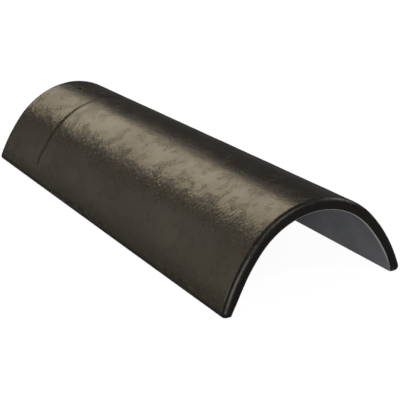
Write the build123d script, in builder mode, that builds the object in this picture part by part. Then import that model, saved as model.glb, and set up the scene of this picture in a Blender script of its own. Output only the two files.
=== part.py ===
from build123d import *
import math
import os

# Ridge tile: one tapered half-round shell of cast concrete, in millimetres.
# It lies on its two feet. X runs across the tile, Y along it and Z up.
# The wide rounded nose is at -Y. The narrow tail, which the next tile covers, is at +Y.

# Overall sizes. The width is taken across the feet at floor level, before they are rounded.
LENGTH = 450.0
NOSE_WIDTH = 204.0
NOSE_HEIGHT = 96.0
WALL = 12.0

# How far the crown slopes down to the tail, over and above the taper of the arch
CROWN_DROP = 12.0

# Play between this tile's tail and the nose of the next tile, which laps over it
LAP_PLAY = 2.5

# Arch section: a crown arc on the centre line, then a flatter leg arc down to each foot
CROWN_RADIUS = 89.0
CROWN_HALF_ANGLE = 49.0

# The rounding of the edges on the outside. The inside edges are left as the mould makes them, sharp.
NOSE_RADIUS = 4.0
TAIL_RADIUS = 1.5
FOOT_RADIUS = 5.0

# Scribed mark that shows how far the next tile laps over this one
MARK_FROM_TAIL = 70.0
MARK_WIDTH = 1.8
MARK_ABOVE_FLOOR = 18.0

# Nail hole through the crown, upright
NAIL_HOLE_DIAMETER = 6.0
NAIL_HOLE_FROM_TAIL = 28.0

# Places along the tile. Going to the tail, the arch lines draw in by the wall and the play.
NOSE_Y = -LENGTH / 2
TAIL_Y = LENGTH / 2
TAIL_INSET = WALL + LAP_PLAY
MARK_Y = TAIL_Y - MARK_FROM_TAIL
MARK_INSET = TAIL_INSET * (MARK_Y - NOSE_Y) / LENGTH
MARK_DROP = CROWN_DROP * (MARK_Y - NOSE_Y) / LENGTH
NAIL_HOLE_Y = TAIL_Y - NAIL_HOLE_FROM_TAIL

# The arch's centres, in the X-Z plane. The leg arc is tangent to the crown arc at the shoulder
# and ends at the foot, which gives its radius.
CROWN_CENTRE = Vector(0, 0, NOSE_HEIGHT - CROWN_RADIUS)
SHOULDER_NORMAL = Vector(0, 0, 1).rotate(Axis.Y, CROWN_HALF_ANGLE)
SHOULDER = CROWN_CENTRE + SHOULDER_NORMAL * CROWN_RADIUS
SHOULDER_TO_FOOT = Vector(NOSE_WIDTH / 2, 0, 0) - SHOULDER
LEG_RADIUS = -SHOULDER_TO_FOOT.length**2 / (2 * SHOULDER_TO_FOOT.dot(SHOULDER_NORMAL))
LEG_CENTRE = SHOULDER - SHOULDER_NORMAL * LEG_RADIUS

# The arch is turned about level centre lines and a little too long at each end. Then it is tipped
# down to the tail by this angle, and its ends are cut off upright.
TIP_ANGLE = math.degrees(math.atan(CROWN_DROP / LENGTH))

END_SPARE = 0.02 * LENGTH
END_INSET = TAIL_INSET * END_SPARE / LENGTH

# The legs are turned past the floor by this angle and are then cut off level
LEG_SPARE_ANGLE = 12.0


def leg_angle(height, inset):
    """Angle round the leg's centre, from upright, where an arch line comes down to a height."""
    return math.degrees(math.acos((height - LEG_CENTRE.Z) / (LEG_RADIUS - inset)))


def shoulder_plane(centre):
    """The plane through one centre line and the shoulder: x along the tile, y out of the arch."""
    return Plane(origin=centre, x_dir=(0, 1, 0), z_dir=SHOULDER_NORMAL.rotate(Axis.Y, 90))


def wall_profile(radius):
    """The wall cut along the tile, from nose to tail, with the arch's centre line as its x axis."""
    with BuildSketch() as profile:
        with BuildLine():
            Polyline(
                (NOSE_Y - END_SPARE, radius + END_INSET),
                (TAIL_Y + END_SPARE, radius - TAIL_INSET - END_INSET),
                (TAIL_Y + END_SPARE, radius - TAIL_INSET - END_INSET - WALL),
                (NOSE_Y - END_SPARE, radius + END_INSET - WALL),
                close=True,
            )
        make_face()
    return profile.sketch


def mark_profile(radius):
    """The round section of the scribed mark, centred on the outside of the wall."""
    with BuildSketch() as profile:
        with Locations((MARK_Y, radius - MARK_INSET)):
            Circle(MARK_WIDTH / 2)
    return profile.sketch


def arch_turned(profile, leg_end_angle):
    """A profile turned over the crown and down both legs, as far as an angle from upright."""
    with BuildPart() as arch:
        with BuildSketch(shoulder_plane(CROWN_CENTRE)):
            add(profile(CROWN_RADIUS))
        revolve(axis=Axis(CROWN_CENTRE, (0, -1, 0)), revolution_arc=2 * CROWN_HALF_ANGLE)
        with BuildSketch(shoulder_plane(LEG_CENTRE)):
            add(profile(LEG_RADIUS))
        leg = revolve(axis=Axis(LEG_CENTRE, (0, 1, 0)), revolution_arc=leg_end_angle - CROWN_HALF_ANGLE)
        mirror(leg, about=Plane.YZ)
    return arch.part.rotate(Axis((0, NOSE_Y, 0), (1, 0, 0)), -TIP_ANGLE)


def round_edges(point, radius):
    """Round the edge of the open part nearest to a point, and the edges that run on from it."""
    fillet(edges().sort_by_distance(point)[0], radius=radius)


with BuildPart() as ridge_tile:
    add(arch_turned(wall_profile, leg_angle(0, 0) + LEG_SPARE_ANGLE))
    split(bisect_by=Plane.XY, keep=Keep.TOP)
    split(bisect_by=Plane.XZ.offset(-NOSE_Y), keep=Keep.BOTTOM)
    split(bisect_by=Plane.XZ.offset(-TAIL_Y), keep=Keep.TOP)

    # The outside of each foot, then the tail's outer arris and the nose's
    round_edges((NOSE_WIDTH / 2, 0, 0), FOOT_RADIUS)
    round_edges((-NOSE_WIDTH / 2, 0, 0), FOOT_RADIUS)
    round_edges((0, TAIL_Y, NOSE_HEIGHT - TAIL_INSET - CROWN_DROP), TAIL_RADIUS)
    round_edges((0, NOSE_Y, NOSE_HEIGHT), NOSE_RADIUS)

    mark_end_angle = leg_angle(MARK_ABOVE_FLOOR + MARK_DROP, MARK_INSET)
    add(arch_turned(mark_profile, mark_end_angle), mode=Mode.SUBTRACT)

    with Locations((0, NAIL_HOLE_Y, NOSE_HEIGHT)):
        Hole(radius=NAIL_HOLE_DIAMETER / 2, depth=NOSE_HEIGHT / 2)

ridge_tile.part.label = "ridge_tile"

os.makedirs("parts", exist_ok=True)
export_step(ridge_tile.part, "parts/ridge_tile.step")
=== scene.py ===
import logging
import math
from dataclasses import dataclass, field
from enum import IntEnum
from functools import cached_property
from typing import Callable

import bmesh
import bpy
from mathutils import Matrix, Vector, noise


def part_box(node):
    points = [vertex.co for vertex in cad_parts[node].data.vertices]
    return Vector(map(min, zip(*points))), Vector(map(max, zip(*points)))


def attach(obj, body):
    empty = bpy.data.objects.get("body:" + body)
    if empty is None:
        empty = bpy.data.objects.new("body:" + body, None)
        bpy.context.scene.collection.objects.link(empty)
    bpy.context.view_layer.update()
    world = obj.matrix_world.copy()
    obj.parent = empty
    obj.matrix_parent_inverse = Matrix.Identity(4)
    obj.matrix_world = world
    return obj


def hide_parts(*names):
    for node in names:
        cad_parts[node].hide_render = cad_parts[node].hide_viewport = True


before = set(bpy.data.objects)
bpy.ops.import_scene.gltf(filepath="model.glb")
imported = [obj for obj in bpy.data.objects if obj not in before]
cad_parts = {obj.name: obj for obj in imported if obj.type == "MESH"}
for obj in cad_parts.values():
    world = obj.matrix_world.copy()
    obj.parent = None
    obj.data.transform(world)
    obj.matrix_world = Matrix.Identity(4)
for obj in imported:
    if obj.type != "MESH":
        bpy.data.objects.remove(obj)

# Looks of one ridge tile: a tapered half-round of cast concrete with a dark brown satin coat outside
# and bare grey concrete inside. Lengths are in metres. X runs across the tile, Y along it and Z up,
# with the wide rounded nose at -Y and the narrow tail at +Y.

log = logging.getLogger("ridge_tile")

MM = 0.001

# Two places of the blank count as one when they are this near, loosely and closely
NEAR = MM / 10
SAME = MM / 100

# A cut that passes a point by less than this goes through the point
CUT_SNAP = MM / 1000

# A face whose centre is this near the blank's side belongs to the foot
SIDE_REACH = MM / 5

# Two faces that meet at less than this angle count as lying in one plane
FLAT_ANGLE = math.radians(10)

# The slope moves each point of the arch a little along the tile, which is found by this many rounds
BEND_ROUNDS = 4


class Surface(IntEnum):
    """The tile's kinds of surface, in the order of its material slots."""

    COAT = 0
    # The nose face takes the coat painted darker, as painted shade
    NOSE_FACE = 1
    BARE = 2


class NodeBoard:
    """A short way to place nodes on one node tree and to join them."""

    def __init__(self, tree: bpy.types.NodeTree) -> None:
        """Start on a tree.

        Args:
            tree: The material's, world's or group's node tree.
        """
        self.tree = tree

    def add(self, kind: str, inputs: dict | None = None, **settings: object) -> bpy.types.Node:
        """Place a node.

        Args:
            kind: The node's type name in Blender.
            inputs: A value or an output socket for each input, by name or by number.
            **settings: Properties of the node itself.

        Returns:
            The new node.
        """
        node = self.tree.nodes.new(kind)
        for name, value in settings.items():
            setattr(node, name, value)
        for key, value in (inputs or {}).items():
            socket = node.inputs[key]
            if isinstance(value, bpy.types.NodeSocket):
                self.tree.links.new(value, socket)
            else:
                socket.default_value = value
        return node

    def math(self, operation: str, first: object, second: object = 0.0) -> bpy.types.NodeSocket:
        """Join two numbers by one operation of the Math node and return the result's socket."""
        return self.add("ShaderNodeMath", {0: first, 1: second}, operation=operation).outputs[0]

    def blend(self, share: object, first: object, second: object) -> bpy.types.NodeSocket:
        """Mix two colours.

        Args:
            share: How much of the second colour shows, 0 to 1.
            first: The colour at share 0.
            second: The colour at share 1.

        Returns:
            The mixed colour's socket.
        """
        mix = self.add("ShaderNodeMix", {0: share, 6: first, 7: second}, data_type="RGBA")
        return mix.outputs[2]

    def ramp(
        self, value: object, low: float, high: float, bottom: float = 0.0, top: float = 1.0
    ) -> bpy.types.NodeSocket:
        """Map a number from one range to another with soft ends.

        Args:
            value: The number or its socket.
            low: Where the ramp starts.
            high: Where the ramp ends.
            bottom: The result at and below the start.
            top: The result at and above the end.

        Returns:
            The result's socket.
        """
        inputs = {"Value": value, "From Min": low, "From Max": high, "To Min": bottom, "To Max": top}
        return self.add("ShaderNodeMapRange", inputs, interpolation_type="SMOOTHSTEP").outputs[0]


def rgba(red: float, green: float, blue: float) -> tuple[float, float, float, float]:
    """An opaque linear colour."""
    return (red, green, blue, 1.0)


class EffectGroup:
    """A shader node group that several finishes share, with named inputs and outputs."""

    def __init__(self, name: str, inputs: dict[str, object], outputs: dict[str, str]) -> None:
        """Make the empty group.

        Args:
            name: The group's name.
            inputs: Each input's name with its default value, where None is a vector.
            outputs: Each output's name with its kind, Float or Color.
        """
        self.tree = bpy.data.node_groups.new(name, "ShaderNodeTree")
        for socket_name, value in inputs.items():
            kind = "Vector" if value is None else "Color" if isinstance(value, tuple) else "Float"
            socket = self.tree.interface.new_socket(
                name=socket_name, in_out="INPUT", socket_type=f"NodeSocket{kind}"
            )
            if value is not None:
                socket.default_value = value
        for socket_name, kind in outputs.items():
            self.tree.interface.new_socket(
                name=socket_name, in_out="OUTPUT", socket_type=f"NodeSocket{kind}"
            )
        self.board = NodeBoard(self.tree)
        self.inputs = self.board.add("NodeGroupInput").outputs
        self.results = self.board.add("NodeGroupOutput").inputs

    def result(self, name: str, socket: bpy.types.NodeSocket) -> None:
        """Join a socket to one of the group's outputs."""
        self.tree.links.new(socket, self.results[name])


class Effects:
    """The shared effects: crinkled coat, cast grain, drift of tone, and worn arrises with a painted
    highlight.
    """

    def __init__(self) -> None:
        """Build each group once."""
        self.crinkle = self.build_crinkle()
        self.grain = self.build_grain()
        self.tone = self.build_tone()
        self.wear_and_highlight = self.build_wear_and_highlight()

    @staticmethod
    def build_crinkle() -> bpy.types.NodeTree:
        """Leathery creases of a coat that skinned over as it dried, deepest at the shoulders.

        Returns:
            The group. Its vector is in millimetres and its height is a share of 1. Way Down is 0 at the
            crown and 1 at the feet.
        """
        group = EffectGroup(
            "Crinkled coat",
            {"Vector": None, "Size": 4.0, "Creases": 0.25, "Way Down": 0.4},
            {"Height": "Float"},
        )
        board = group.board
        scale = board.math("DIVIDE", 1.0, group.inputs["Size"])
        place = board.add("ShaderNodeMapping", {"Vector": group.inputs["Vector"], "Scale": (1.0, 1.6, 1.0)})
        leather = {"Vector": place.outputs[0], "Detail": 1.5, "Roughness": 0.4}
        swell = board.add("ShaderNodeTexNoise", {**leather, "Scale": scale, "Distortion": 0.35})
        crease_scale = board.math("MULTIPLY", scale, 1.3)
        crease = board.add("ShaderNodeTexNoise", {**leather, "Scale": crease_scale, "Distortion": 1.4})

        # A crease runs where the stirred clouds pass through their middle value, and only in patches
        off_middle = board.math("ABSOLUTE", board.math("SUBTRACT", crease.outputs[0], 0.5))
        cut = board.ramp(off_middle, low=0.0, high=0.05, bottom=1.0, top=0.0)
        patch_scale = board.math("MULTIPLY", scale, 0.3)
        patch = board.add(
            "ShaderNodeTexNoise", {"Vector": group.inputs["Vector"], "Scale": patch_scale, "Detail": 1.0}
        )
        where = board.ramp(patch.outputs[0], low=0.45, high=0.62)
        cut = board.math("MULTIPLY", board.math("MULTIPLY", cut, group.inputs["Creases"]), where)

        # The relief is lower on the crown, and lowest on the flanks
        crown = board.ramp(group.inputs["Way Down"], low=0.24, high=0.44, bottom=0.33, top=1.0)
        flank = board.ramp(group.inputs["Way Down"], low=0.5, high=0.64, bottom=1.0, top=0.25)
        thick = board.math("MULTIPLY", crown, flank)
        relief = board.math("SUBTRACT", swell.outputs[0], cut)
        group.result("Height", board.math("MULTIPLY", relief, thick))
        return group.tree

    @staticmethod
    def build_grain() -> bpy.types.NodeTree:
        """Sand grain and pinholes of cast concrete.

        Returns:
            The group. Its vector is in millimetres. Height and Speck are shares of 1.
        """
        group = EffectGroup(
            "Cast grain", {"Vector": None, "Size": 0.9, "Pits": 0.5}, {"Height": "Float", "Speck": "Float"}
        )
        board = group.board
        scale = board.math("DIVIDE", 1.0, group.inputs["Size"])
        sand = board.add(
            "ShaderNodeTexNoise",
            {"Vector": group.inputs["Vector"], "Scale": scale, "Detail": 4.0, "Roughness": 0.6},
        )
        pit_scale = board.math("MULTIPLY", scale, 0.28)
        cells = board.add("ShaderNodeTexVoronoi", {"Vector": group.inputs["Vector"], "Scale": pit_scale})
        pit = board.ramp(cells.outputs["Distance"], low=0.08, high=0.2, bottom=1.0, top=0.0)
        pit = board.math("MULTIPLY", pit, group.inputs["Pits"])
        group.result("Height", board.math("SUBTRACT", sand.outputs[0], pit))
        group.result("Speck", board.ramp(sand.outputs[0], low=0.35, high=0.7))
        return group.tree

    @staticmethod
    def build_tone() -> bpy.types.NodeTree:
        """Slow drift between two tones.

        Returns:
            The group. Its vector is in millimetres. Share is how much of the light tone shows.
        """
        group = EffectGroup(
            "Drift of tone",
            {"Vector": None, "Size": 60.0, "Light": rgba(0.5, 0.5, 0.5), "Dark": rgba(0.2, 0.2, 0.2)},
            {"Color": "Color", "Share": "Float"},
        )
        board = group.board
        scale = board.math("DIVIDE", 1.0, group.inputs["Size"])
        cloud = board.add(
            "ShaderNodeTexNoise",
            {"Vector": group.inputs["Vector"], "Scale": scale, "Detail": 5.0, "Roughness": 0.55},
        )
        share = board.ramp(cloud.outputs[0], low=0.3, high=0.7)
        group.result("Color", board.blend(share, group.inputs["Dark"], group.inputs["Light"]))
        group.result("Share", share)
        return group.tree

    @staticmethod
    def build_wear_and_highlight() -> bpy.types.NodeTree:
        """Where an arris is rubbed or left uncoated and painted paler still as a painted highlight, broken
        up by grain.

        Returns:
            The group. Its vector is in millimetres, and Arris is 1 on the very edge.
        """
        group = EffectGroup(
            "Worn arris and painted highlight", {"Vector": None, "Arris": 0.0, "Reach": 0.5, "Ragged": 0.3}, {"Mask": "Float"}
        )
        board = group.board
        place = group.inputs["Vector"]
        chips = board.add("ShaderNodeTexNoise", {"Vector": place, "Scale": 0.7, "Detail": 3.0})
        off_middle = board.math("SUBTRACT", chips.outputs[0], 0.5)
        shift = board.math("MULTIPLY", off_middle, group.inputs["Ragged"])
        edge = board.math("ADD", group.inputs["Arris"], shift)
        start = board.math("SUBTRACT", 1.0, group.inputs["Reach"])
        above = board.math("SUBTRACT", edge, start)
        group.result("Mask", board.ramp(above, low=0.0, high=0.15))
        return group.tree


class Finish:
    """What the finishes share: a material with one Principled shader and a vector in millimetres."""

    name: str

    def start(self) -> tuple[bpy.types.Material, NodeBoard, bpy.types.Node, bpy.types.NodeSocket]:
        """Make the material.

        Returns:
            The material, its node board, its Principled shader and the millimetre vector's socket.
        """
        material = bpy.data.materials.new(self.name)
        material.use_nodes = True
        material.node_tree.nodes.clear()
        board = NodeBoard(material.node_tree)
        shader = board.add("ShaderNodeBsdfPrincipled")
        board.add("ShaderNodeOutputMaterial", {"Surface": shader.outputs[0]})
        place = board.add("ShaderNodeTexCoord").outputs["Object"]
        scaled = board.add("ShaderNodeMapping", {"Vector": place, "Scale": (1 / MM, 1 / MM, 1 / MM)})
        return material, board, shader, scaled.outputs[0]

    @staticmethod
    def relief(board: NodeBoard, layers: list[tuple[bpy.types.NodeSocket, float]]) -> bpy.types.NodeSocket:
        """Lay bump layers over each other.

        Args:
            board: The material's board.
            layers: Each layer's height socket and its depth in metres.

        Returns:
            The normal's socket.
        """
        normal = None
        for height, depth in layers:
            inputs = {"Height": height, "Distance": depth, "Strength": 1.0}
            if normal is not None:
                inputs["Normal"] = normal
            normal = board.add("ShaderNodeBump", inputs).outputs[0]
        return normal


@dataclass(frozen=True)
class CoatFinish(Finish):
    """The dark brown satin coat, crinkled like leather, most of all at the shoulders."""

    effects: Effects
    name: str = "brown_satin_coat"
    light: tuple = rgba(0.027, 0.0255, 0.0205)
    dark: tuple = rgba(0.019, 0.0182, 0.0152)
    # Colour along the nose's inner arris: partly the uncoated edge, partly a painted highlight
    bare_and_highlight: tuple = rgba(0.16, 0.15, 0.14)
    sheen_tint: tuple = rgba(1.0, 0.82, 0.5)
    roughness: float = 0.3
    roughness_swing: float = 0.04
    specular: float = 1.0
    crinkle_size: float = 4.0
    crinkle_depth: float = 0.5 * MM
    grain_depth: float = 0.012 * MM
    pits: float = 0.15
    wear_and_highlight_reach: float = 0.35

    def build(self) -> bpy.types.Material:
        """Make the material."""
        material, board, shader, place = self.start()
        inputs = {"Vector": place, "Light": self.light, "Dark": self.dark}
        tone = board.add("ShaderNodeGroup", inputs, node_tree=self.effects.tone)
        arris = board.add("ShaderNodeAttribute", attribute_name="arris").outputs["Fac"]
        inputs = {"Vector": place, "Arris": arris, "Reach": self.wear_and_highlight_reach}
        wear_and_highlight = board.add("ShaderNodeGroup", inputs, node_tree=self.effects.wear_and_highlight)
        # Paler along the nose's inner arris: a worn, uncoated edge with a painted highlight on it
        colour = board.blend(wear_and_highlight.outputs["Mask"], tone.outputs["Color"], self.bare_and_highlight)
        way_down = board.add("ShaderNodeAttribute", attribute_name="way_down").outputs["Fac"]
        inputs = {"Vector": place, "Size": self.crinkle_size, "Way Down": way_down}
        crinkle = board.add("ShaderNodeGroup", inputs, node_tree=self.effects.crinkle)
        inputs = {"Vector": place, "Pits": self.pits}
        grain = board.add("ShaderNodeGroup", inputs, node_tree=self.effects.grain)
        low = self.roughness - self.roughness_swing
        high = self.roughness + self.roughness_swing
        rough = board.ramp(tone.outputs["Share"], low=0.0, high=1.0, bottom=high, top=low)
        layers = [
            (crinkle.outputs["Height"], self.crinkle_depth),
            (grain.outputs["Height"], self.grain_depth),
        ]
        tree = material.node_tree
        tree.links.new(colour, shader.inputs["Base Color"])
        tree.links.new(rough, shader.inputs["Roughness"])
        tree.links.new(self.relief(board, layers), shader.inputs["Normal"])
        shader.inputs["Specular IOR Level"].default_value = self.specular
        shader.inputs["Specular Tint"].default_value = self.sheen_tint
        return material


@dataclass(frozen=True)
class BareFinish(Finish):
    """Concrete as cast, with sand grain, pinholes and a paler worn arris, painted paler than the concrete
    itself as a painted highlight.
    """

    effects: Effects
    name: str = "bare_grey_concrete"
    light: tuple = rgba(0.33, 0.333, 0.35)
    dark: tuple = rgba(0.265, 0.268, 0.281)
    # The arris colour, paler than the concrete itself: a worn edge with a painted highlight
    worn_with_highlight: tuple = rgba(0.6, 0.6, 0.6)
    cloud_size: float = 35.0
    speck_share: float = 0.25
    roughness: float = 0.85
    specular: float = 0.3
    pits: float = 0.5
    grain_depth: float = 0.06 * MM
    wear_and_highlight_reach: float = 0.55

    def build(self) -> bpy.types.Material:
        """Make the material."""
        material, board, shader, place = self.start()
        inputs = {"Vector": place, "Light": self.light, "Dark": self.dark, "Size": self.cloud_size}
        tone = board.add("ShaderNodeGroup", inputs, node_tree=self.effects.tone)
        inputs = {"Vector": place, "Pits": self.pits}
        grain = board.add("ShaderNodeGroup", inputs, node_tree=self.effects.grain)
        arris = board.add("ShaderNodeAttribute", attribute_name="arris").outputs["Fac"]
        inputs = {"Vector": place, "Arris": arris, "Reach": self.wear_and_highlight_reach}
        wear_and_highlight = board.add("ShaderNodeGroup", inputs, node_tree=self.effects.wear_and_highlight)
        speck = board.math("MULTIPLY", grain.outputs["Speck"], self.speck_share)
        colour = board.blend(speck, tone.outputs["Color"], self.light)
        colour = board.blend(wear_and_highlight.outputs["Mask"], colour, self.worn_with_highlight)
        tree = material.node_tree
        tree.links.new(colour, shader.inputs["Base Color"])
        layers = [(grain.outputs["Height"], self.grain_depth)]
        tree.links.new(self.relief(board, layers), shader.inputs["Normal"])
        shader.inputs["Roughness"].default_value = self.roughness
        shader.inputs["Specular IOR Level"].default_value = self.specular
        return material


@dataclass(frozen=True)
class Arch:
    """The outside arch line at the nose: a crown arc, then a flatter leg arc down to each foot."""

    width: float
    height: float
    crown_radius: float = 89 * MM
    crown_half_angle: float = math.radians(49)

    @cached_property
    def shoulder_normal(self) -> Vector:
        """The direction, in X and Z, from both arc centres to the right shoulder."""
        return Vector((math.sin(self.crown_half_angle), math.cos(self.crown_half_angle)))

    @cached_property
    def crown_centre(self) -> Vector:
        """The crown arc's centre, in X and Z."""
        return Vector((0, self.height - self.crown_radius))

    @cached_property
    def leg_radius(self) -> float:
        """The leg arc's radius: the arc is tangent at the shoulder and ends at the foot."""
        shoulder = self.crown_centre + self.shoulder_normal * self.crown_radius
        to_foot = Vector((self.width / 2, 0)) - shoulder
        return -to_foot.length_squared / (2 * to_foot.dot(self.shoulder_normal))

    @cached_property
    def leg_centre(self) -> Vector:
        """The right leg arc's centre, in X and Z."""
        return self.crown_centre + self.shoulder_normal * (self.crown_radius - self.leg_radius)

    def foot_angle(self, depth: float, rise: float) -> float:
        """The leg's angle from upright where the line at a depth inside the arch line ends.

        Args:
            depth: How far the line is inside the arch line.
            rise: How high the line ends.
        """
        return math.acos((rise - self.leg_centre.y) / (self.leg_radius - depth))

    def crown_run(self, depth: float) -> float:
        """The length of half the crown arc at a depth inside the arch line."""
        return (self.crown_radius - depth) * self.crown_half_angle

    def half_run(self, depth: float, rise: float) -> float:
        """The length of the line from crown to foot at a depth inside the arch line."""
        leg = (self.leg_radius - depth) * (self.foot_angle(depth, rise) - self.crown_half_angle)
        return self.crown_run(depth) + leg

    def point(self, run: float, half_run: float, inset: float, depth: float, rise: float) -> Vector:
        """Where a point of the flat blank comes to lie, in X and Z.

        Args:
            run: The way from the crown line along the blank, below 0 to the left.
            half_run: The blank's half width there.
            inset: How far the wall's outside is inside the arch line there.
            depth: How far the point is inside the arch line.
            rise: How high the leg ends.

        Returns:
            The point's X and Z.
        """
        side = -1 if run < 0 else 1
        crown_run = self.crown_run(inset)
        if abs(run) <= crown_run:
            angle = abs(run) / (self.crown_radius - inset)
            centre, radius = self.crown_centre, self.crown_radius - depth
        else:
            share = (abs(run) - crown_run) / (half_run - crown_run)
            angle = self.crown_half_angle + share * (self.foot_angle(depth, rise) - self.crown_half_angle)
            centre, radius = self.leg_centre, self.leg_radius - depth
        return Vector((side * (centre.x + radius * math.sin(angle)), centre.y + radius * math.cos(angle)))


@dataclass(frozen=True)
class CastRelief:
    """The unevenness that casting and a thick coat leave, pressed into the surface and never raised."""

    swell_size: float = 34 * MM
    swell_depth: float = 0.20 * MM
    dent_size: float = 11 * MM
    dent_depth: float = 0.14 * MM
    dent_shift: tuple = (7.3, 1.9, 4.1)

    def depth(self, place: Vector) -> float:
        """How far the surface lies inside the true form at a place."""
        swell = 0.5 + 0.5 * noise.noise(place / self.swell_size)
        dent = 0.5 + 0.5 * noise.noise(place / self.dent_size + Vector(self.dent_shift))
        return self.swell_depth * swell + self.dent_depth * dent


@dataclass
class RidgeTile:
    """The tile: a flat blank with rounded edges, cut into a fine net and bent over the arch.

    The blank's outer face is up, at Z 0. It tapers to the tail as the arch does.
    """

    length: float
    nose_height: float = 96 * MM
    nose_width: float = 204 * MM
    wall: float = 12 * MM
    crown_drop: float = 12 * MM
    lap_play: float = 2.5 * MM
    nose_outer_radius: float = 6 * MM
    inner_radius: float = 1.0 * MM
    tail_radius: float = 1.5 * MM
    foot_radius: float = 5.0 * MM
    foot_inner_radius: float = 2.5 * MM
    mark_from_tail: float = 70 * MM
    mark_width: float = 1.8 * MM
    mark_above_floor: float = 18 * MM
    mark_depth: float = 0.7 * MM
    mark_fade: float = 22 * MM
    mark_crown_share: float = 0.25
    nail_hole_diameter: float = 6 * MM
    nail_hole_from_tail: float = 28 * MM
    relief: CastRelief = field(default_factory=CastRelief)

    # The feet stay level up to this height, and the relief comes in above them
    level_foot: float = 1 * MM
    relief_fade: float = 6 * MM

    # How far the nose's worn inner arris, which also carries a painted highlight, reaches along the tile and
    # up into the wall
    arris_along: float = 2.5 * MM
    arris_up: float = 1.6 * MM

    # The net's spacing, and where it is cut closer: over half the hole, over half the mark's width and
    # down through the wall
    net: float = 1.9 * MM
    hole_net_steps: int = 4
    mark_net_shares: tuple = (-1.0, -0.9, -0.7, -0.4, 0.0, 0.4, 0.7, 0.9, 1.0)
    wall_net_shares: tuple = (0.42, 0.56, 0.7, 0.82)
    hole_smooth_rounds: int = 6

    def __post_init__(self) -> None:
        """Work out the arch and the places along the tile."""
        self.arch = Arch(self.nose_width, self.nose_height)
        self.tail_y = self.length / 2
        self.nose_y = -self.length / 2
        self.slope = self.crown_drop / self.length
        self.mark_y = self.tail_y - self.mark_from_tail
        self.hole_y = self.tail_y - self.nail_hole_from_tail
        self.hole_step = self.nail_hole_diameter / 2 / self.hole_net_steps

    def inset(self, y: float) -> float:
        """How far the outer face has drawn in from the arch line, which is the nose's."""
        share = (y - self.nose_y) / self.length
        return (self.wall + self.lap_play) * share

    def half_run(self, y: float) -> float:
        """The blank's half width at a place along it."""
        share = (y - self.nose_y) / self.length
        nose = self.arch.half_run(0, 0)
        return nose + share * (self.arch.half_run(self.inset(self.tail_y), self.crown_drop) - nose)

    def blank(self) -> bmesh.types.BMesh:
        """Make the tapered blank and round its edges, the feet first and the inner border last."""
        bm = bmesh.new()
        bmesh.ops.create_cube(bm, size=1)
        for vert in bm.verts:
            y = self.tail_y if vert.co.y > 0 else self.nose_y
            side = 1 if vert.co.x > 0 else -1
            vert.co = (side * self.half_run(y), y, 0 if vert.co.z > 0 else -self.wall)
        self.round_edges(bm, lambda a, b: self.is_side(a, b, 0), self.foot_offset(), segments=8)
        self.round_edges(
            bm, lambda a, b: self.is_side(a, b, -self.wall), self.foot_inner_radius, segments=4
        )
        self.round_edges(bm, lambda a, b: self.is_end(a, b, self.nose_y), self.nose_outer_radius, segments=7)
        self.round_edges(bm, lambda a, b: self.is_end(a, b, self.tail_y), self.tail_radius, segments=4)
        self.round_edges(bm, self.is_inner_border, self.inner_radius, segments=3, by_faces=True)
        return bm

    def foot_offset(self) -> float:
        """How far the foot's rounding reaches from the corner, where the leaning wall meets the floor."""
        turn = math.pi - self.arch.foot_angle(self.inset(0), self.crown_drop / 2)
        return self.foot_radius * math.tan(turn / 2)

    def is_side(self, a: Vector, b: Vector, z: float) -> bool:
        """Whether an edge runs along the blank's side at a height."""
        return abs(a.z - z) < NEAR and abs(b.z - z) < NEAR and abs(a.y - b.y) > self.length / 2

    def is_end(self, a: Vector, b: Vector, y: float) -> bool:
        """Whether an edge lies in one of the blank's ends, clear of the inner face."""
        return abs(a.y - y) < NEAR and abs(b.y - y) < NEAR and max(a.z, b.z) > -self.wall + NEAR

    def is_inner_border(self, a: Vector, b: Vector) -> bool:
        """Whether an edge lies in the inner face's plane."""
        return max(abs(a.z + self.wall), abs(b.z + self.wall)) < SAME

    @staticmethod
    def round_edges(
        bm: bmesh.types.BMesh,
        picks: Callable[[Vector, Vector], bool],
        radius: float,
        segments: int,
        by_faces: bool = False,
    ) -> None:
        """Round the edges that a test picks.

        Args:
            bm: The mesh.
            picks: The test, given the places of an edge's two ends.
            radius: The rounding's radius.
            segments: How many faces make the rounding.
            by_faces: Leave out an edge whose two faces are in one plane.
        """
        edges = [edge for edge in bm.edges if picks(edge.verts[0].co, edge.verts[1].co)]
        if by_faces:
            edges = [edge for edge in edges if edge.calc_face_angle(0) > FLAT_ANGLE]
        bmesh.ops.bevel(
            bm,
            geom=edges,
            offset=radius,
            offset_type="OFFSET",
            segments=segments,
            profile=0.5,
            affect="EDGES",
            clamp_overlap=False,
            material=-1,
        )

    def cut(self, bm: bmesh.types.BMesh, place: Vector, normal: Vector) -> None:
        """Cut the whole mesh along a plane and keep both sides."""
        geometry = bm.verts[:] + bm.edges[:] + bm.faces[:]
        bmesh.ops.bisect_plane(bm, geom=geometry, dist=CUT_SNAP, plane_co=place, plane_no=normal)

    def cut_lengthwise(self, bm: bmesh.types.BMesh, run: float, y: float) -> None:
        """Cut along the fan line that passes a place of the blank.

        Args:
            bm: The mesh.
            run: The line's way from the crown line at that place.
            y: The place along the tile.
        """
        share = run / self.half_run(y)
        taper = share * (self.half_run(self.tail_y) - self.half_run(self.nose_y))
        normal = Vector((self.tail_y - self.nose_y, -taper, 0))
        self.cut(bm, Vector((run, y, 0)), normal)

    def make_net(self, bm: bmesh.types.BMesh) -> None:
        """Cut the blank into a fine net, closer at the nail hole and at the scribed mark."""
        hole_half = self.hole_step * self.hole_net_steps
        hole_steps = range(-self.hole_net_steps, self.hole_net_steps + 1)
        for step in hole_steps:
            self.cut_lengthwise(bm, step * self.hole_step, self.hole_y)

        # The first line beyond the hole and the last before the foot's rounding keep a little clear
        edge =self.half_run(self.nose_y) - self.foot_offset() * 1.1
        first = hole_half + self.net * 0.6
        count = round((edge - first) / self.net)
        for step in range(count + 1):
            run = first + (edge - first) * step / count
            for side in (-1, 1):
                self.cut_lengthwise(bm, side * run, self.nose_y)

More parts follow.
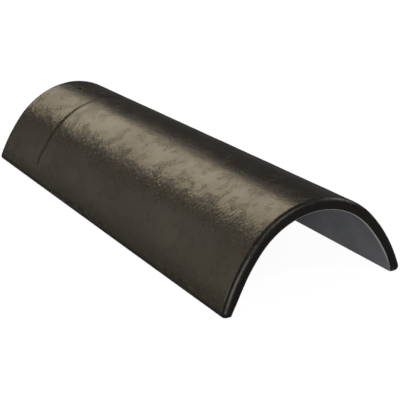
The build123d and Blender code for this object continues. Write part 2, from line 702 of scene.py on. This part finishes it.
        # Between the roundings of the two ends, the net is even apart from the mark and the hole
        across = Vector((0, 1, 0))
        nose_start = self.nose_y + self.nose_outer_radius * 1.2
        tail_end = self.tail_y - self.tail_radius * 2
        mark = [self.mark_y + share * self.mark_width / 2 for share in self.mark_net_shares]
        hole = [self.hole_y + step * self.hole_step for step in hole_steps]
        for y in [nose_start, *mark, *hole, tail_end]:
            self.cut(bm, Vector((0, y, 0)), across)
        for share in self.wall_net_shares:
            self.cut(bm, Vector((0, 0, -self.wall * share)), Vector((0, 0, 1)))
        for low, high in ((nose_start, mark[0]), (mark[-1], hole[0]), (hole[-1], tail_end)):
            edges = [e for e in bm.edges if self.spans(e, low, high)]
            cuts = round((high - low) / self.net) - 1
            bmesh.ops.subdivide_edges(bm, edges=edges, cuts=cuts, use_grid_fill=True)

    @staticmethod
    def spans(edge: bmesh.types.BMEdge, low: float, high: float) -> bool:
        """Whether an edge runs the whole way between two places along the tile."""
        first, second = sorted(vert.co.y for vert in edge.verts)
        return abs(first - low) < SAME and abs(second - high) < SAME

    def punch_nail_hole(self, bm: bmesh.types.BMesh) -> None:
        """Open the nail hole through the blank, so that it stands upright once the blank is bent."""
        half = self.hole_step * self.hole_net_steps
        rims = []
        for z in (0, -self.wall):
            faces = [f for f in bm.faces if self.is_in_hole(f.calc_center_median(), z, half)]
            rim = {e for f in faces for e in f.edges if sum(g in faces for g in e.link_faces) == 1}
            rims.append((z, rim))
            bmesh.ops.delete(bm, geom=faces, context="FACES")
        inset = self.inset(self.hole_y)
        outer_radius = self.arch.crown_radius - inset
        for z, rim in rims:
            for vert in {v for e in rim for v in e.verts}:
                x, y = vert.co.x, vert.co.y - self.hole_y
                reach = max(abs(x), abs(y))
                turn = math.atan2(y, x)
                quarter = math.pi / 2
                corner = round(turn / quarter) * quarter
                slip = math.tan(turn - corner) * math.pi / 4
                true_x = reach * math.cos(corner + slip)
                flat_x = outer_radius * math.asin(true_x / (outer_radius + z))
                vert.co = (flat_x, self.hole_y + reach * math.sin(corner + slip), z)
        bmesh.ops.bridge_loops(bm, edges=[e for _, rim in rims for e in rim])
        rim_verts = {v for _, rim in rims for e in rim for v in e.verts}
        near = [v for v in bm.verts if v not in rim_verts and self.is_near_hole(v.co)]
        for _ in range(self.hole_smooth_rounds):
            bmesh.ops.smooth_vert(bm, verts=near, factor=0.5, use_axis_x=True, use_axis_y=True)

    def is_in_hole(self, centre: Vector, z: float, half: float) -> bool:
        """Whether a face's centre is in the nail hole's square, on the face at that height."""
        level = abs(centre.z - z) < NEAR
        return level and abs(centre.x) < half and abs(centre.y - self.hole_y) < half

    def is_near_hole(self, place: Vector) -> bool:
        """Whether a place of the blank is in the ring of net that the hole has drawn in."""
        return (place.xy - Vector((0, self.hole_y))).length < self.nail_hole_diameter * 1.1

    def scribe_mark(self, bm: bmesh.types.BMesh) -> None:
        """Press the lap mark into the outer face, shallower on the crown and fading above the feet."""
        radius = self.mark_width / 2
        reach = self.half_run(self.mark_y) - self.mark_above_floor
        more = 1 - self.mark_crown_share
        for vert in bm.verts:
            off = abs(vert.co.y - self.mark_y)
            if off < radius and abs(vert.co.z) < SAME:
                way = abs(vert.co.x)
                fade = min(1, max(0, (reach - way) / self.mark_fade))
                fade *= min(1, self.mark_crown_share + more * max(0, way - self.mark_fade) / self.mark_fade)
                vert.co.z -= self.mark_depth * math.sqrt(1 - (off / radius) ** 2) * fade

    def name_surfaces(self, bm: bmesh.types.BMesh) -> None:
        """Give each face its kind of surface, and each point its worn arris with its painted highlight, and
        its way down the arch.
        """
        arris = bm.verts.layers.float.new("arris")
        way_down = bm.verts.layers.float.new("way_down")
        for vert in bm.verts:
            nose = max(0, 1 - abs(vert.co.y - self.nose_y) / self.arris_along)
            inner = max(0, 1 - abs(vert.co.z + self.wall) / self.arris_up)
            vert[arris] = min(nose, inner)
            vert[way_down] = abs(vert.co.x) / self.half_run(vert.co.y)

        # The bare concrete takes in nearly all of the inner rounding, and the nose face most of the outer;
        # the nose face's coat is painted darker, as painted shade
        inner_end = -self.wall + self.inner_radius * 0.95
        nose_end = self.nose_y + self.nose_outer_radius * 0.7
        for face in bm.faces:
            centre = face.calc_center_median()
            face.smooth = True
            if centre.z < inner_end or abs(centre.x) > self.half_run(centre.y) - SIDE_REACH:
                face.material_index = Surface.BARE
            elif centre.y < nose_end:
                face.material_index = Surface.NOSE_FACE
            else:
                face.material_index = Surface.COAT

    def bend(self, bm: bmesh.types.BMesh) -> None:
        """Bend the blank over the arch, which slopes down to the tail, with both feet on the floor."""
        tip = math.atan(self.slope)
        for vert in bm.verts:
            run, y, z = vert.co
            way = (y - self.nose_y) / math.cos(tip)
            height = 0.0
            for _ in range(BEND_ROUNDS):
                along = way - height * self.slope
                inset = self.inset(self.nose_y + along)
                x, height = self.arch.point(run, self.half_run(y), inset, inset - z, along * self.slope)
            vert.co = (x, y, height * math.cos(tip) - along * math.sin(tip))

    def roughen(self, bm: bmesh.types.BMesh) -> None:
        """Press the cast relief in, with the feet kept level and nothing beyond the ends' planes."""
        bm.normal_update()
        sunk = []
        for vert in bm.verts:
            share = min(1, max(0, (vert.co.z - self.level_foot) / self.relief_fade))
            sunk.append(vert.co - vert.normal * self.relief.depth(vert.co) * share)
        for vert, place in zip(bm.verts, sunk):
            place.y = max(self.nose_y, min(self.tail_y, place.y))
            vert.co = place

    def build(self) -> bpy.types.Object:
        """Model the tile.

        Returns:
            The tile's object, at the origin, with no materials yet.
        """
        bm = self.blank()
        self.make_net(bm)
        self.punch_nail_hole(bm)
        bmesh.ops.recalc_face_normals(bm, faces=bm.faces)
        self.name_surfaces(bm)
        self.scribe_mark(bm)
        self.bend(bm)
        if bm.calc_volume(signed=True) < 0:
            bmesh.ops.reverse_faces(bm, faces=bm.faces)
        self.roughen(bm)
        bmesh.ops.triangulate(bm, faces=[face for face in bm.faces if len(face.verts) > 4])
        mesh = bpy.data.meshes.new("ridge_tile_cast")
        bm.to_mesh(mesh)
        bm.free()
        tile = bpy.data.objects.new("ridge_tile_cast", mesh)
        bpy.context.scene.collection.objects.link(tile)
        return tile

    def dress(self, tile: bpy.types.Object, effects: Effects) -> None:
        """Give the tile its materials, in the order of its kinds of surface.

        Args:
            tile: The tile's object.
            effects: The shared effect groups.
        """
        coat = CoatFinish(effects)
        # The nose face takes a copy of the coat painted several times darker, as painted shade where the
        # nose faces away from the lights, and with a duller sheen
        nose = CoatFinish(
            effects,
            name="matt_nose_coat_painted_shade",
            light=rgba(0.016, 0.0145, 0.012),
            dark=rgba(0.011, 0.01, 0.0085),
            sheen_tint=rgba(1.0, 0.93, 0.84),
            roughness=0.36,
            specular=0.6,
        )
        for finish in (coat, nose, BareFinish(effects)):
            tile.data.materials.append(finish.build())


@dataclass(frozen=True)
class Softbox:
    """One soft studio light, aimed at the tile."""

    name: str
    direction: tuple[float, float, float]
    distance: float
    width: float
    height: float
    radiance: float
    tint: tuple[float, float, float] = (1.0, 1.0, 1.0)

    def build(self, target: Vector) -> bpy.types.Object:
        """Hang the light.

        Args:
            target: The place that it is aimed at.

        Returns:
            The light's object.
        """
        data = bpy.data.lights.new(self.name, "AREA")
        data.shape = "RECTANGLE"
        data.size = self.width
        data.size_y = self.height
        data.energy = self.radiance * math.pi * self.width * self.height
        data.color = self.tint
        lamp = bpy.data.objects.new(self.name, data)
        away = Vector(self.direction).normalized()
        lamp.matrix_world = Matrix.LocRotScale(
            target + away * self.distance, away.to_track_quat("Z", "Y"), Vector((1, 1, 1))
        )
        lamp.visible_camera = False
        bpy.context.scene.collection.objects.link(lamp)
        return lamp


@dataclass
class Studio:
    """A plain pale floor, soft lights and the camera at the photograph's angle."""

    floor_size: float = 12.0
    floor_colour: tuple = rgba(0.16, 0.16, 0.16)
    lift: float = 0.955
    glossy_share: float = 0.03
    ambient: float = 0.06
    target: Vector = field(default_factory=lambda: Vector((0, 0, 50 * MM)))
    azimuth: float = math.radians(-33.09)
    elevation: float = math.radians(23.21)
    camera_distance: float = 2.559
    camera_right: float = 17.2 * MM
    camera_up: float = -31.7 * MM
    focal_pixels: float = 2600
    frame_pixels: float = 400
    sensor_millimetres: float = 36.0
    softboxes: tuple = (
        Softbox("key_softbox", (0.02, 0.79, 0.61), 1.7, 1.05, 0.9, 2.5, (1.0, 0.94, 0.86)),
        Softbox("back_left_fill", (-0.66, 0.7, 0.28), 1.9, 1.3, 0.9, 0.5, (0.9, 0.92, 1.0)),
        Softbox("left_fill", (-0.8, 0.5, 0.12), 1.8, 0.4, 0.3, 2.2),
        Softbox("right_fill", (0.75, 0.35, 0.52), 1.8, 0.4, 0.3, 0.6),
        Softbox("right_side_fill", (0.85, -0.1, 0.5), 1.9, 1.1, 0.5, 2.8),
        Softbox("front_fill", (-0.62, -0.77, 0.13), 1.9, 0.9, 0.4, 9.0),
        Softbox("nose_strip", (-0.05, -0.66, 0.75), 1.8, 1.0, 0.25, 7.5),
    )

    def seen(self, board: NodeBoard) -> bpy.types.NodeSocket:
        """How much of the pale background a ray sees: all for the camera, little in the tile's sheen."""
        path = board.add("ShaderNodeLightPath").outputs
        glossy = board.math("MULTIPLY", path["Is Glossy Ray"], self.glossy_share)
        through = board.math("MAXIMUM", path["Is Camera Ray"], path["Is Transmission Ray"])
        return board.math("MAXIMUM", through, glossy)

    def build_floor(self) -> bpy.types.Object:
        """Lay the floor, which keeps the tile's shadow and still looks nearly white."""
        bm = bmesh.new()
        bmesh.ops.create_grid(bm, x_segments=1, y_segments=1, size=self.floor_size / 2)
        mesh = bpy.data.meshes.new("studio_floor")
        bm.to_mesh(mesh)
        bm.free()
        floor = bpy.data.objects.new("studio_floor", mesh)
        bpy.context.scene.collection.objects.link(floor)
        material = bpy.data.materials.new("pale_floor")
        material.use_nodes = True
        material.node_tree.nodes.clear()
        board = NodeBoard(material.node_tree)
        matt = board.add("ShaderNodeBsdfDiffuse", {"Color": self.floor_colour})
        strength = board.math("MULTIPLY", self.seen(board), self.lift)
        glow = board.add("ShaderNodeEmission", {"Strength": strength})
        both = board.add("ShaderNodeAddShader", {0: matt.outputs[0], 1: glow.outputs[0]})
        board.add("ShaderNodeOutputMaterial", {"Surface": both.outputs[0]})
        mesh.materials.append(material)
        return floor

    def build_world(self) -> None:
        """Set a dim even light all round, which looks white to the camera."""
        world = bpy.data.worlds.new("studio")
        world.use_nodes = True
        world.node_tree.nodes.clear()
        board = NodeBoard(world.node_tree)
        strength = board.math("MAXIMUM", self.seen(board), self.ambient)
        background = board.add("ShaderNodeBackground", {"Color": rgba(1, 1, 1), "Strength": strength})
        board.add("ShaderNodeOutputWorld", {"Surface": background.outputs[0]})
        bpy.context.scene.world = world

    def build_camera(self) -> bpy.types.Object:
        """Set the camera where the photograph was taken from."""
        flat = math.cos(self.elevation)
        back = Vector(
            (math.sin(self.azimuth) * flat, -math.cos(self.azimuth) * flat, math.sin(self.elevation))
        )
        right = Vector((math.cos(self.azimuth), math.sin(self.azimuth), 0))
        up = back.cross(right)
        data = bpy.data.cameras.new("photo_camera")
        data.sensor_width = self.sensor_millimetres
        data.lens = data.sensor_width * self.focal_pixels / self.frame_pixels
        camera = bpy.data.objects.new("photo_camera", data)
        place = self.target + back * self.camera_distance + right * self.camera_right + up * self.camera_up
        turn = Matrix((right, up, back)).transposed().to_quaternion()
        camera.matrix_world = Matrix.LocRotScale(place, turn, Vector((1, 1, 1)))
        bpy.context.scene.collection.objects.link(camera)
        bpy.context.scene.camera = camera
        return camera

    def build(self) -> None:
        """Set up the whole studio."""
        self.build_floor()
        self.build_world()
        for softbox in self.softboxes:
            softbox.build(self.target)
        self.build_camera()
        bpy.context.scene.view_settings.view_transform = "Standard"


def main() -> None:
    """Build the tile and the studio."""
    logging.basicConfig(level=logging.INFO, format="%(name)s: %(message)s")
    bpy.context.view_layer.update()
    low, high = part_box("ridge_tile")
    ridge_tile = RidgeTile(length=high.y - low.y)
    tile = ridge_tile.build()
    ridge_tile.dress(tile, Effects())
    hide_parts("ridge_tile")
    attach(tile, "root")
    log.info("%s has %d faces", tile.name, len(tile.data.polygons))
    Studio().build()


if __name__ == "__main__":
    main()
